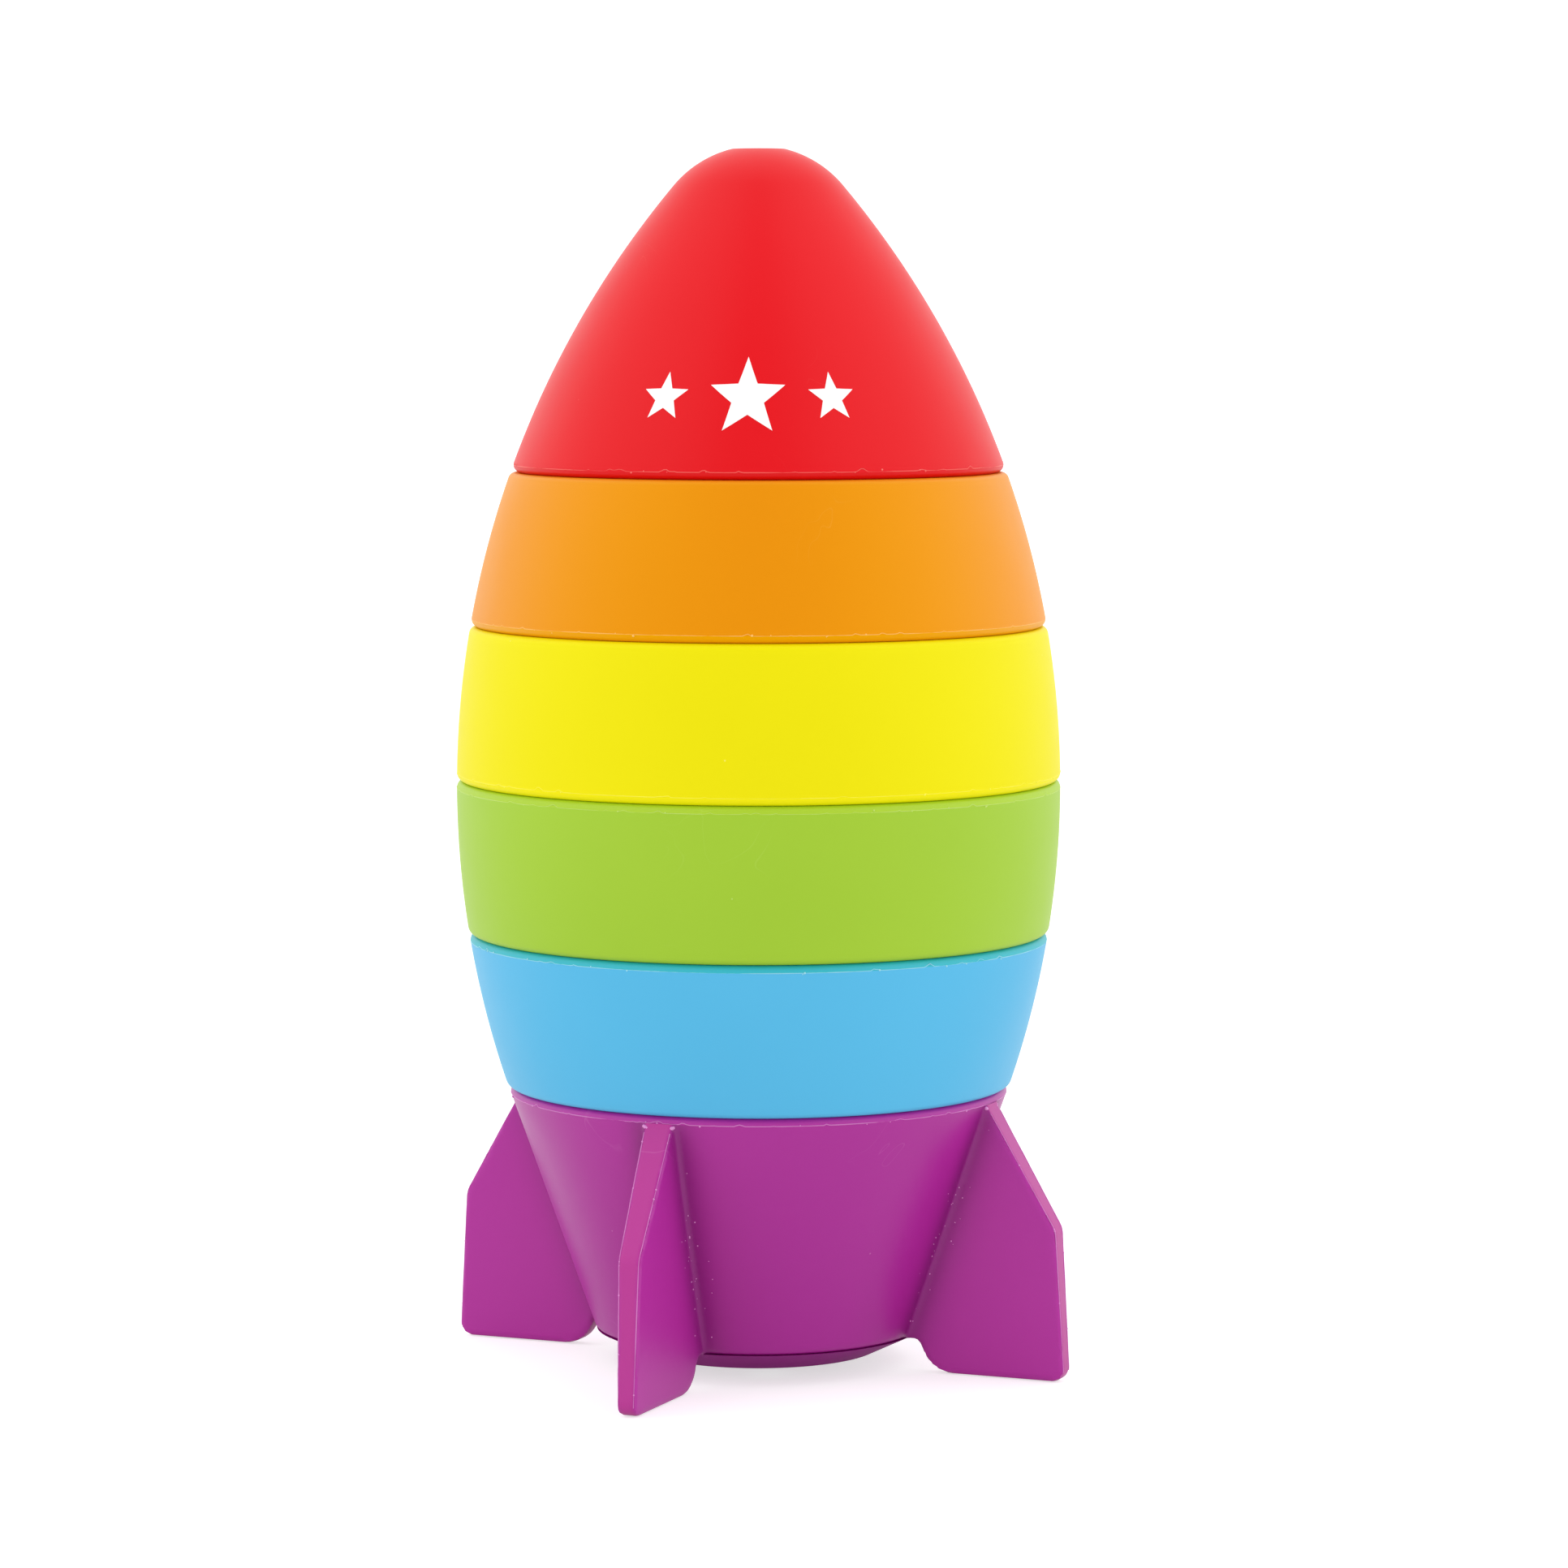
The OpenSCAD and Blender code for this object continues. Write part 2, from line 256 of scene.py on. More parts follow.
def turning_tree():
    """Turns an outline of (radius, 0, height) points once round the Z axis."""
    tree, given, result = new_tree(
        "turned_piece", "GeometryNodeTree",
        [("Outline", "NodeSocketGeometry", None), ("Points", "NodeSocketInt", 8),
         ("Steps round", "NodeSocketInt", 64), ("Material", "NodeSocketMaterial", None)],
        [("Piece", "NodeSocketGeometry", None)])
    outline, points, steps, material = given.outputs[:4]
    across = maths(tree, "ADD", steps, 1)
    along = maths(tree, "ADD", points, 1)
    grid = add_node(tree, "GeometryNodeMeshGrid", Vertices_X=across, Vertices_Y=along)
    index = tree.nodes.new("GeometryNodeInputIndex").outputs[0]
    column = maths(tree, "FLOOR", maths(tree, "DIVIDE", maths(tree, "ADD", index, 0.5), along))
    row = maths(tree, "SUBTRACT", index, maths(tree, "MULTIPLY", column, along))
    row = maths(tree, "MODULO", row, points)
    place = tree.nodes.new("GeometryNodeInputPosition").outputs[0]
    sample = tree.nodes.new("GeometryNodeSampleIndex")
    sample.data_type = "FLOAT_VECTOR"
    for name, socket in (("Geometry", outline), ("Value", place), ("Index", row)):
        tree.links.new(socket, sample.inputs[name])
    angle = maths(tree, "MULTIPLY", maths(tree, "DIVIDE", column, steps), 2 * math.pi)
    rotated = tree.nodes.new("ShaderNodeVectorRotate")
    rotated.rotation_type = "Z_AXIS"
    tree.links.new(sample.outputs[0], rotated.inputs["Vector"])
    tree.links.new(angle, rotated.inputs["Angle"])
    placed = add_node(tree, "GeometryNodeSetPosition", Geometry=grid.outputs["Mesh"],
                      Position=rotated.outputs[0])
    merged = add_node(tree, "GeometryNodeMergeByDistance", Geometry=placed.outputs[0],
                      Distance=0.000002)
    real = add_node(tree, "GeometryNodeRealizeInstances", Geometry=merged.outputs[0])
    last = add_node(tree, "GeometryNodeSetMaterial", Geometry=real.outputs[0], Material=material)
    tree.links.new(last.outputs[0], result.inputs[0])
    return tree


def finish_flash(tree, geometry, highlight_paleness, material, result):
    """Ends a flash tree: real geometry, marked as flash, in its piece's plastic. The mark's value is
    how strongly the flash is lightened, a painted highlight.
    """
    real = add_node(tree, "GeometryNodeRealizeInstances", Geometry=geometry)
    marked = add_node(tree, "GeometryNodeStoreNamedAttribute", Geometry=real.outputs[0],
                      Name="flash", Value=highlight_paleness)
    last = add_node(tree, "GeometryNodeSetMaterial", Geometry=marked.outputs[0],
                    Material=material)
    tree.links.new(last.outputs[0], result.inputs[0])
    return tree


def ridge_tree():
    """Lays a fine uneven ridge of moulding flash along a line, with a few curled wisps."""
    tree, given, result = new_tree(
        "flash_ridge", "GeometryNodeTree",
        [("Line", "NodeSocketGeometry", None), ("Ridge radius", "NodeSocketFloat", 0.0001),
         ("Ridge points", "NodeSocketInt", 400), ("Curl", "NodeSocketFloat", 0.0001),
         ("Seed", "NodeSocketInt", 1), ("Material", "NodeSocketMaterial", None)],
        [("Flash", "NodeSocketGeometry", None)])
    line, ridge_r, ridge_n, curl, seed, material = given.outputs[:6]
    curve = add_node(tree, "GeometryNodeMeshToCurve", Mesh=line)
    even = add_node(tree, "GeometryNodeResampleCurve", Curve=curve.outputs[0], Count=ridge_n)
    place = tree.nodes.new("GeometryNodeInputPosition").outputs[0]
    shift = tree.nodes.new("ShaderNodeCombineXYZ")
    tree.links.new(maths(tree, "MULTIPLY", seed, 0.37), shift.inputs[0])
    moved = maths(tree, "ADD", place, shift.outputs[0], kind="ShaderNodeVectorMath")
    patchy = add_node(tree, "ShaderNodeTexNoise", Vector=moved, Scale=140.0, Detail=3.0)
    strength = add_node(tree, "ShaderNodeMapRange", Value=patchy.outputs[0], From_Min=0.35,
                        From_Max=0.65, To_Min=0.45, To_Max=1.0)
    shaped = add_node(tree, "GeometryNodeSetCurveRadius", Curve=even.outputs[0],
                      Radius=strength.outputs[0])
    loops = add_node(tree, "ShaderNodeTexNoise", Vector=moved, Scale=420.0, Detail=1.0)
    lift = add_node(tree, "ShaderNodeMapRange", Value=loops.outputs[0], From_Min=0.6,
                    From_Max=0.78, To_Min=0.0, To_Max=1.0)
    rise = tree.nodes.new("ShaderNodeCombineXYZ")
    tree.links.new(maths(tree, "MULTIPLY", lift.outputs[0], curl), rise.inputs[2])
    wavy = add_node(tree, "GeometryNodeSetPosition", Geometry=shaped.outputs[0],
                    Offset=rise.outputs[0])
    section = add_node(tree, "GeometryNodeCurvePrimitiveCircle", Resolution=6, Radius=ridge_r)
    radius = tree.nodes.new("GeometryNodeInputRadius").outputs[0]
    ridge = add_node(tree, "GeometryNodeCurveToMesh", Curve=wavy.outputs[0],
                     Profile_Curve=section.outputs[0], Scale=radius, Fill_Caps=True)
    return finish_flash(tree, ridge.outputs[0], 0.7, material, result)


def bead_tree():
    """Sets a bead of flash of its own size on every point."""
    tree, given, result = new_tree(
        "flash_beads", "GeometryNodeTree",
        [("Spots", "NodeSocketGeometry", None), ("Bead radius", "NodeSocketFloat", 0.0002),
         ("Seed", "NodeSocketInt", 1), ("Material", "NodeSocketMaterial", None)],
        [("Flash", "NodeSocketGeometry", None)])
    spots, bead_r, seed, material = given.outputs[:4]
    bead = add_node(tree, "GeometryNodeMeshIcoSphere", Radius=bead_r, Subdivisions=2)
    size = add_node(tree, "FunctionNodeRandomValue", Min=0.4, Max=1.0, Seed=seed)
    beads = add_node(tree, "GeometryNodeInstanceOnPoints", Points=spots,
                     Instance=bead.outputs[0], Scale=size.outputs[1])
    return finish_flash(tree, beads.outputs[0], 1.0, material, result)


# ---------------------------------- shader groups

def group_colour_drift():
    """Slow, cloudy change of shade through a moulding."""
    tree, given, result = new_tree(
        "colour_drift", "ShaderNodeTree",
        [("Vector", "NodeSocketVector", None), ("Scale", "NodeSocketFloat", 18.0)],
        [("Shade", "NodeSocketFloat", None)])
    cloud = add_node(tree, "ShaderNodeTexNoise", Vector=given.outputs[0],
                     Scale=given.outputs[1], Detail=3.0, Roughness=0.45)
    spread = add_node(tree, "ShaderNodeMapRange", Value=cloud.outputs[0], From_Min=0.3,
                      From_Max=0.7)
    tree.links.new(spread.outputs[0], result.inputs[0])
    return tree


def group_moulded_grain():
    """Fine satin grain of a blasted mould: a height and an unevenness of the sheen."""
    tree, given, result = new_tree(
        "moulded_grain", "ShaderNodeTree",
        [("Vector", "NodeSocketVector", None), ("Grain", "NodeSocketFloat", 2600.0)],
        [("Height", "NodeSocketFloat", None), ("Unevenness", "NodeSocketFloat", None)])
    fine = add_node(tree, "ShaderNodeTexNoise", Vector=given.outputs[0],
                    Scale=given.outputs[1], Detail=2.0, Roughness=0.6)
    waves = add_node(tree, "ShaderNodeTexNoise", Vector=given.outputs[0], Scale=85.0,
                     Detail=2.0)
    patches = add_node(tree, "ShaderNodeTexNoise", Vector=given.outputs[0], Scale=60.0,
                       Detail=4.0, Roughness=0.65)
    height = maths(tree, "ADD", maths(tree, "MULTIPLY", fine.outputs[0], 0.35),
                   maths(tree, "MULTIPLY", waves.outputs[0], 0.65))
    tree.links.new(height, result.inputs[0])
    tree.links.new(patches.outputs[0], result.inputs[1])
    return tree


def group_resin_specks():
    """Sparse tiny specks of unmixed resin and dust caught in the surface."""
    tree, given, result = new_tree(
        "resin_specks", "ShaderNodeTree",
        [("Vector", "NodeSocketVector", None), ("Cells", "NodeSocketFloat", 190.0),
         ("Size", "NodeSocketFloat", 0.03), ("Share", "NodeSocketFloat", 0.3)],
        [("Mask", "NodeSocketFloat", None)])
    cells = add_node(tree, "ShaderNodeTexVoronoi", Vector=given.outputs[0],
                     Scale=given.outputs[1])
    near = maths(tree, "LESS_THAN", cells.outputs["Distance"], given.outputs[2])
    split = tree.nodes.new("ShaderNodeSeparateColor")
    tree.links.new(cells.outputs["Color"], split.inputs[0])
    kept = maths(tree, "LESS_THAN", split.outputs[0], given.outputs[3])
    tree.links.new(maths(tree, "MULTIPLY", near, kept), result.inputs[0])
    return tree


def group_handling_scuffs():
    """Rare short hairlines from handling."""
    tree, given, result = new_tree(
        "handling_scuffs", "ShaderNodeTree",
        [("Vector", "NodeSocketVector", None), ("Amount", "NodeSocketFloat", 1.0)],
        [("Mask", "NodeSocketFloat", None)])
    swirl = add_node(tree, "ShaderNodeTexNoise", Vector=given.outputs[0], Scale=70.0,
                     Detail=1.5, Distortion=1.2)
    line = maths(tree, "ABSOLUTE", maths(tree, "SUBTRACT", swirl.outputs[0], 0.5))
    hair = add_node(tree, "ShaderNodeMapRange", Value=line, From_Min=0.0, From_Max=0.004,
                    To_Min=1.0, To_Max=0.0)
    where = add_node(tree, "ShaderNodeTexNoise", Vector=given.outputs[0], Scale=38.0,
                     Detail=2.0)
    rare = add_node(tree, "ShaderNodeMapRange", Value=where.outputs[0], From_Min=0.62,
                    From_Max=0.7)
    mask = maths(tree, "MULTIPLY", hair.outputs[0], rare.outputs[0])
    tree.links.new(maths(tree, "MULTIPLY", mask, given.outputs[1]), result.inputs[0])
    return tree


SHADER_GROUPS = {
    "drift": group_colour_drift(),
    "grain": group_moulded_grain(),
    "specks": group_resin_specks(),
    "scuffs": group_handling_scuffs(),
}


def place_group(tree, key, vector, **values):
    node = tree.nodes.new("ShaderNodeGroup")
    node.node_tree = SHADER_GROUPS[key]
    tree.links.new(vector, node.inputs["Vector"])
    for name, value in values.items():
        node.inputs[name].default_value = value
    return node


# ---------------------------------- materials

def linear(red, green, blue):
    """Linear colour of a shade given as 0-255 display values."""
    def channel(v):
        v /= 255
        return v / 12.92 if v <= 0.04045 else ((v + 0.055) / 1.055) ** 2.4
    return channel(red), channel(green), channel(blue), 1.0


def mix_colour(tree, mask, low, high):
    node = tree.nodes.new("ShaderNodeMix")
    node.data_type = "RGBA"
    for slot, value in ((0, mask), (6, low), (7, high)):    # the node's sockets for colours
        feed(tree, node.inputs[slot], value)
    return node.outputs[2]


def new_material(name):
    """A material with its node tree, its shader and its Object coordinates."""
    material = bpy.data.materials.new(name)
    material.use_nodes = True
    tree = material.node_tree
    coordinates = tree.nodes.new("ShaderNodeTexCoord").outputs["Object"]
    return material, tree, tree.nodes["Principled BSDF"], coordinates


def add_bump(tree, shader, height, strength, depth):
    bump = add_node(tree, "ShaderNodeBump", Strength=strength, Distance=depth, Height=height)
    tree.links.new(bump.outputs[0], shader.inputs["Normal"])


SATIN_SPREAD = 0.12     # unevenness of a plastic's roughness
SPECK_STRENGTH = 0.6
SCUFF_STRENGTH = 0.35
SCUFF_ROUGHNESS = 0.15  # how much rougher a scuff is
PLASTIC_IOR = 1.47


def satin_plastic(name, deep, light, speck, flash, sheen, satin, offset, shades=()):
    """Satin moulded plastic: cloudy shade, fine grain, specks, hairlines and pale flash, whose
    paleness is a painted highlight.

    The shade drifts from deep to light. Sheen is the reflection's colour, satin the least
    roughness, and offset moves the pattern. Flash is the pale colour of the hairlines, and on
    the flash a painted highlight. Each of the shades is a stored attribute's name, the colour
    that it brings and how strongly; the shades in use are painted light, shade and reflected colour.
    """
    material, tree, shader, coordinates = new_material(name)
    mapping = add_node(tree, "ShaderNodeMapping", Vector=coordinates, Location=offset)
    vector = mapping.outputs[0]
    drift = place_group(tree, "drift", vector, Scale=16.0)
    grain = place_group(tree, "grain", vector, Grain=2400.0)
    specks = place_group(tree, "specks", vector, Cells=150.0, Size=0.022, Share=0.3)
    scuffs = place_group(tree, "scuffs", vector, Amount=0.5)
    marked = tree.nodes.new("ShaderNodeAttribute")
    marked.attribute_name = "flash"
    colour = mix_colour(tree, drift.outputs[0], linear(*deep), linear(*light))
    for attribute, tint, amount in shades:
        stored = tree.nodes.new("ShaderNodeAttribute")
        stored.attribute_name = attribute
        share = maths(tree, "MULTIPLY", stored.outputs["Fac"], amount)
        colour = mix_colour(tree, share, colour, linear(*tint))
    share = maths(tree, "MULTIPLY", specks.outputs[0], SPECK_STRENGTH)
    colour = mix_colour(tree, share, colour, linear(*speck))
    share = maths(tree, "MULTIPLY", scuffs.outputs[0], SCUFF_STRENGTH)
    colour = mix_colour(tree, share, colour, linear(*flash))
    # painted highlight: the flash is lightened towards the pale flash colour
    colour = mix_colour(tree, marked.outputs["Fac"], colour, linear(*flash))
    tree.links.new(colour, shader.inputs["Base Color"])
    rough = add_node(tree, "ShaderNodeMapRange", Value=grain.outputs[1], To_Min=satin,
                     To_Max=satin + SATIN_SPREAD)
    rough = maths(tree, "MULTIPLY_ADD", scuffs.outputs[0], SCUFF_ROUGHNESS, rough.outputs[0])
    tree.links.new(rough, shader.inputs["Roughness"])
    add_bump(tree, shader, grain.outputs[0], 0.25, 0.00005)
    shader.inputs["IOR"].default_value = PLASTIC_IOR
    shader.inputs["Specular IOR Level"].default_value = max(sheen)
    shader.inputs["Specular Tint"].default_value = [c / max(sheen) for c in sheen] + [1]
    return material


# each plate carries its own tint: it paints the colour that the neighbouring ring reflects onto the
# plate's edge at the seam
RED = satin_plastic(
    "red_plastic", (225, 1, 16), (229, 3, 21), (240, 84, 78), (244, 112, 104),
    (0.26, 0.26, 0.26), 0.34, (0.3, 0.1, 0.2), [("plate", (222, 1, 10), 1.0)])
ORANGE = satin_plastic(
    "orange_plastic", (234, 137, 16), (238, 141, 18), (190, 110, 50), (253, 196, 116),
    (0.50, 0.85, 0.0), 0.40, (1.1, 0.4, 0.0), [("plate", (238, 154, 1), 1.0)])
YELLOW = satin_plastic(
    "yellow_plastic", (237, 226, 1), (240, 229, 2), (250, 246, 130), (251, 244, 84),
    (0.12, 0.12, 0.12), 0.40, (2.3, 0.2, 0.5), [("plate", (243, 233, 4), 1.0)])
GREEN = satin_plastic(
    "green_plastic", (155, 197, 22), (161, 202, 28), (200, 226, 120), (196, 225, 108),
    (0.60, 0.60, 0.60), 0.42, (3.7, 0.9, 0.1), [("plate", (168, 205, 26), 1.0)])
BLUE = satin_plastic(
    "blue_plastic", (71, 181, 227), (77, 186, 232), (150, 215, 240), (160, 222, 236),
    (0.62, 0.62, 0.62), 0.42, (4.2, 0.6, 0.8), [("plate", (34, 180, 196), 1.0)])
PURPLE = satin_plastic(
    "purple_plastic", (171, 31, 148), (177, 35, 154), (208, 120, 190), (224, 142, 208),
    (0.46, 0.46, 0.46), 0.31, (5.2, 0.3, 0.7),
    # painted light and shade on the base: darker valleys at the fins' roots, fins lighter away from
    # the cone, lighter outer faces
    [("root_painted_shade", (122, 20, 106), 0.6), ("fin_painted_light", (186, 42, 160), 0.6),
     ("face", (184, 44, 143), 0.9), ("plate", (176, 40, 154), 1.0)])
# painted shade: the cap under the cone is a darker purple with little sheen, standing in for the
# shade there
SHADED_CAP_PURPLE = satin_plastic(
    "purple_cap_painted_shade", (150, 18, 132), (156, 21, 137), (180, 90, 160), (180, 90, 160),
    (0.04, 0.04, 0.04), 0.42, (6.4, 0.8, 0.2))


def uneven_finish(name, low, high, cloud, grit, smooth, rough, metallic=0.0):
    """A finish whose colour and roughness drift a little, with fine grain."""
    material, tree, shader, coordinates = new_material(name)
    grain = place_group(tree, "grain", coordinates, Grain=grit)
    drift = place_group(tree, "drift", coordinates, Scale=cloud)
    colour = mix_colour(tree, drift.outputs[0], linear(*low), linear(*high))
    tree.links.new(colour, shader.inputs["Base Color"])
    spread = add_node(tree, "ShaderNodeMapRange", Value=grain.outputs[1], To_Min=smooth,
                      To_Max=rough)
    tree.links.new(spread.outputs[0], shader.inputs["Roughness"])
    add_bump(tree, shader, grain.outputs[0], 0.2, 0.00002)
    shader.inputs["Metallic"].default_value = metallic
    return material


def brushed_steel():
    """Bright steel of the screws."""
    return uneven_finish("screw_steel", (176, 176, 180), (204, 204, 206), 300.0, 5200.0,
                         0.24, 0.42, metallic=1.0)


def print_ink():
    """Thin white pad-printing ink."""
    return uneven_finish("white_ink", (246, 244, 243), (255, 254, 253), 400.0, 4200.0,
                         0.42, 0.55)


# ---------------------------------- making pieces

TURNING = turning_tree()
RIDGE = ridge_tree()
BEADS = bead_tree()
SHARP_ANGLE = math.radians(38)
RIDGE_STEP = 0.45       # spacing of the points along a ridge of flash
RIDGE_SUNK = 0.04       # how deep the middle of a parting line's ridge lies
BEAD_SPREAD = 0.12      # spread of its beads' heights


def smooth(mesh):
    mesh.polygons.foreach_set("use_smooth", [True] * len(mesh.polygons))


def finish_mesh(mesh):
    """Closed, outward-facing and smooth, with its real corners kept sharp."""
    bm = bmesh.new()
    bm.from_mesh(mesh)
    bmesh.ops.remove_doubles(bm, verts=bm.verts, dist=1e-6)
    bmesh.ops.dissolve_degenerate(bm, edges=bm.edges, dist=1e-7)
    loose = [e for e in bm.edges if not e.link_faces]
    bmesh.ops.delete(bm, geom=loose, context="EDGES")
    bmesh.ops.recalc_face_normals(bm, faces=bm.faces)
    bm.to_mesh(mesh)
    bm.free()
    smooth(mesh)
    mesh.set_sharp_from_angle(angle=SHARP_ANGLE)


def new_piece(name, mesh, material):
    mesh.name = name
    mesh.materials.clear()
    mesh.materials.append(material)
    piece = bpy.data.objects.new(name, mesh)
    bpy.context.scene.collection.objects.link(piece)
    return piece


def turned(name, outline, material):
    """A piece turned from its outline of (radius, height) points."""
    path = line_mesh([(r * MM, 0, z * MM) for r, z in outline], closed=True)
    mesh = run_tree(TURNING, path, {"Points": len(outline), "Steps round": ROUND_STEPS,
                                    "Material": material})
    finish_mesh(mesh)
    return new_piece(name, mesh, material)


def mark(piece, name, values):
    """Stores a value at every vertex, which the piece's material reads."""
    count = len(piece.data.vertices)
    layer = piece.data.attributes.new(name, "FLOAT", "POINT")
    layer.data.foreach_set("value", np.broadcast_to(values, count).astype(np.float32))


def join_flash(piece, mesh):
    """Joins a mesh of flash to its piece."""
    smooth(mesh)
    flash = new_piece(piece.name + "_flash", mesh, piece.data.materials[0])
    with bpy.context.temp_override(active_object=piece, selected_editable_objects=[piece, flash]):
        bpy.ops.object.join()


def add_ridge(piece, points, seed, radius=0.09, curl=0.5):
    """Flash along a line of points, in millimetres."""
    path = line_mesh([tuple(c * MM for c in p) for p in points], closed=False)
    length = sum(math.dist(a, b) for a, b in zip(points, points[1:]))
    join_flash(piece, run_tree(RIDGE, path, {
        "Ridge radius": radius * MM, "Ridge points": int(length / RIDGE_STEP), "Curl": curl * MM,
        "Seed": seed, "Material": piece.data.materials[0]}))


def add_beads(piece, spots, seed, radius=0.2):
    """Beads of flash on a list of spots, in millimetres."""
    mesh = bpy.data.meshes.new("spots")
    mesh.from_pydata([tuple(c * MM for c in p) for p in spots], [], [])
    join_flash(piece, run_tree(BEADS, mesh, {
        "Bead radius": radius * MM, "Seed": seed, "Material": piece.data.materials[0]}))


def circle(r, z, steps=720):
    """Points round the axis, with the first again at the end."""
    return [(r * math.cos(2 * math.pi * i / steps), r * math.sin(2 * math.pi * i / steps), z)
            for i in range(steps + 1)]


def widest(line_z):
    """Radius at a parting line, where a piece is at its widest."""
    return edge_centre(line_z)[0] + EDGE_R


def add_parting_line(piece, line_z, seed, beads=22):
    """Ridge and stray beads round a turned piece at its widest place."""
    chance = random.Random(seed)
    r = widest(line_z) - RIDGE_SUNK
    add_ridge(piece, circle(r, line_z), seed)
    spots = []
    for _ in range(beads):
        turn = chance.uniform(0, 2 * math.pi)
        spots.append((r * math.cos(turn), r * math.sin(turn), line_z + chance.gauss(0, BEAD_SPREAD)))
    add_beads(piece, spots, seed)


def stand_for(piece, body, slot, *nodes):
    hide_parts(*nodes)
    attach(piece, body)


# ---------------------------------- rings

def make_ring(colour, material, wide_up, seed):
    """A hollow ring: its shell with the parting line's flash, and the plate that closes it."""
    shell_node = colour + "_ring_shell"
    plate_node = colour + ("_ring_lid" if wide_up else "_ring_floor")
    z0 = min(low_z(shell_node), low_z(plate_node))
    z1 = max(high_z(shell_node), high_z(plate_node))
    line = z1 - EDGE_R if wide_up else z0 + EDGE_R
    shell = turned(colour + "_ring_wall", ring_shell_outline(z0, z1, wide_up), material)
    out, face = (1, z1) if wide_up else (-1, z0)
    plate = turned(colour + "_ring_plate", plate_outline(face, out, BORE_R, HUB_R + FIT_GAP),
                   material)
    add_parting_line(shell, line, seed)
    stand_for(shell, colour + "_ring", colour + "_plastic", shell_node)
    # the plate's tint is painted reflected colour from the neighbouring ring
    mark(plate, "plate", 1.0)
    stand_for(plate, colour + "_ring", colour + "_plastic", plate_node)


make_ring("blue", BLUE, True, 3)
make_ring("green", GREEN, True, 5)
make_ring("yellow", YELLOW, False, 8)
make_ring("orange", ORANGE, False, 13)


# ---------------------------------- nose

nose = turned("nose_cone", nose_shell_outline(), RED)
add_parting_line(nose, NOSE_Z + EDGE_R, 21, beads=30)
stand_for(nose, "nose", "red_plastic", "nose_shell")
nose_plate = turned("nose_socket_plate", nose_floor_outline(), RED)
mark(nose_plate, "plate", 1.0)
stand_for(nose_plate, "nose", "red_plastic", "nose_floor")


# ---------------------------------- print on the nose

STAR_Z = 161.0          # height of the print's middle
STARS = ((-13.6, 4.0), (0.0, 6.4), (13.6, 4.0))     # each one's place sideways, and size
STAR_DENT = 0.42        # inner corners as a share of the points' reach
STAR_TURN = 20.0        # where the print stands round the nose, in degrees from -Y
STAR_CUTS = 9           # cuts along each edge, so that the ink follows the nose
INK_T = 0.05            # ink above the plastic


def nose_radius(z):
    return SIDE_X + math.sqrt(SIDE_R ** 2 - (z - BELLY_Z) ** 2)


def star_skin(bm, aside, reach):
    """One five-pointed star as a thin closed skin that follows the nose."""
    corners = [Vector((math.sin(math.pi * i / 5), math.cos(math.pi * i / 5)))
               * (reach if i % 2 == 0 else reach * STAR_DENT) for i in range(10)]
    middle = bm.verts.new((0, 0, 0))
    rim = [bm.verts.new((c.x, c.y, 0)) for c in corners]
    faces = [bm.faces.new((middle, rim[(i + 1) % 10], vert)) for i, vert in enumerate(rim)]
    edges = list(dict.fromkeys(edge for face in faces for edge in face.edges))
    bmesh.ops.subdivide_edges(bm, edges=edges, cuts=STAR_CUTS, use_grid_fill=True)
    # earlier stars already stand out on the nose, and this one still lies at height 0
    faces = [f for f in bm.faces if all(abs(v.co.z) < 1e-9 for v in f.verts)]
    solid = bmesh.ops.extrude_face_region(bm, geom=faces)
    top = {item for item in solid["geom"] if isinstance(item, bmesh.types.BMVert)}
    for vert in {v for f in faces for v in f.verts} | top:
        height = STAR_Z + vert.co.y
        r = nose_radius(height) + (INK_T if vert in top else -INK_T)
        turn = math.radians(STAR_TURN) + (vert.co.x + aside) / nose_radius(STAR_Z)
        vert.co = Vector((r * math.sin(turn), -r * math.cos(turn), height)) * MM


def star_print():
    """Plain five-pointed stars printed on the nose."""
    bm = bmesh.new()
    for aside, reach in STARS:
        star_skin(bm, aside, reach)
    bmesh.ops.recalc_face_normals(bm, faces=bm.faces)
    mesh = bpy.data.meshes.new("nose_star_print")
    bm.to_mesh(mesh)
    bm.free()
    smooth(mesh)
    mesh.set_sharp_from_angle(angle=SHARP_ANGLE)
    return new_piece("nose_star_print", mesh, print_ink())


star = star_print()
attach(star, "nose")


# ---------------------------------- base

# corners of a fin's outline, as (radius, height)
KNEE = (53.2, 25.0)
TOE = (54.7, 0.0)
HEEL = (31.6, 0.0)
HEEL_TOP = (29.2, CONE_FOOT_Z)
KNEE_ROUND_R = 4.0
TOE_ROUND_R = 2.0
HEEL_ROUND_R = 5.5
HEEL_TOP_ROUND_R = 1.2
CREST = (widest(RIM_Z - EDGE_R), RIM_Z - EDGE_R)
FIN_THICKNESS = ((0.0, 3.2), (25.0, 4.0), (CREST[1], 5.2))     # by height
FIN_EDGE_R = 0.5        # rounding along the fins' edges
ROOT_BLEND = 0.8        # reach of the blend between fins and cone
VALLEY_REACH = 3.2      # how far the painted shade along the fins' roots spreads
FIN_LIGHT_REACH = 8.0        # distance from the cone at which a fin has its full painted light
FACE_INSET = 0.25       # from a fin's edges to where its outer face has its full painted sheen
FACE_FADE = 0.3         # width over which that painted sheen comes in
FACE_REACH = 0.6        # how near a fin's outline its outer face is
GRID_STEP = (0.5, 0.5, 0.7)     # spacing of the net that skins the base, along each axis
NET_ASIDE = 2.0         # room for that net beside, below and above the base
NET_BELOW = 1.3
NET_ABOVE = 3.0
FLASH_STEP = 1.5        # spacing of the points along a fin's edge
FLASH_DROP = 0.6        # how far below the rim a fin's flash starts
